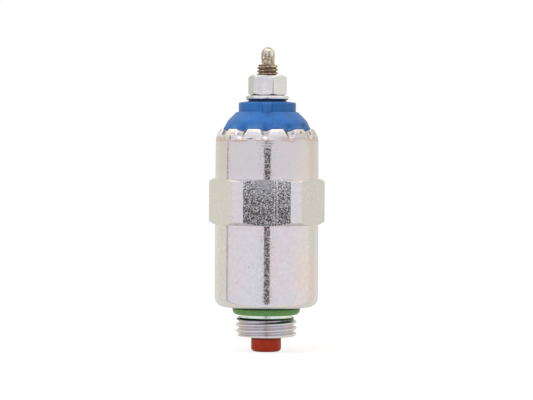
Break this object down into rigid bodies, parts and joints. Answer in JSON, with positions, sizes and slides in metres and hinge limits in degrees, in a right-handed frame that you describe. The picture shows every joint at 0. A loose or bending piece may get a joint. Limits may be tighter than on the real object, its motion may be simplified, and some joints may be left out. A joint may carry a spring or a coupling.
{
  "type": "fuel shutoff solenoid",
  "caption": "Plunger solenoid that shuts off fuel: plated steel barrel with spanner collar and threaded nose, blue crimped cap, terminal stud, sprung plunger with rubber tip.",
  "frame": {"origin": "centre of the housing's seat face, the flat underside round the nose", "axes": "+Z along the axis from the nose towards the terminal; -Y out of the spanner flat that the picture shows"},
  "size_m": [0.027, 0.0246, 0.0706],
  "materials": {
    "plated_steel": "bright zinc plate, faintly iridescent",
    "green_rubber": "smooth moulded rubber",
    "blue_plastic": "moulded, glossy",
    "brass": "turned, dulled",
    "solder": "flowed solder",
    "zinc_fasteners": "satin zinc plate",
    "red_rubber": "smooth moulded rubber",
    "black_rubber": "smooth moulded rubber",
    "soft_iron": "turned steel",
    "spring_steel": "drawn wire",
    "bobbin_plastic": "moulded",
    "copper": "enamelled copper wire",
    "tape": "polyester tape",
    "wire_sleeve": "insulated wire"
  },
  "bodies": {
    "solenoid_body": {"housing": "plated_steel", "nose_o_ring": "green_rubber", "terminal_cap": "blue_plastic", "terminal_stud": "brass", "solder_tip": "solder", "terminal_nut": "zinc_fasteners", "terminal_washer": "zinc_fasteners", "stud_seal": "black_rubber", "cap_seal": "black_rubber", "end_plate": "soft_iron", "pole_core": "soft_iron", "antistick_shim": "brass", "guide_sleeve": "brass", "lower_sleeve_seal": "black_rubber", "upper_sleeve_seal": "black_rubber", "bobbin": "bobbin_plastic", "winding": "copper", "winding_tape": "tape", "disc_spring": "spring_steel", "feed_lead": "wire_sleeve", "earth_lead": "copper", "return_spring": "spring_steel"},
    "plunger_body": {"plunger": "soft_iron", "valve_tip": "red_rubber"}
  },
  "joints": [
    {"name": "plunger_slide", "type": "slide", "parent": "solenoid_body", "child": "plunger_body", "axis": [0, 0, 1], "range_m": [0, 0.0022], "stiffness_N_per_m": 800, "springref_m": -0.004, "deforming": ["return_spring"]}
  ]
}
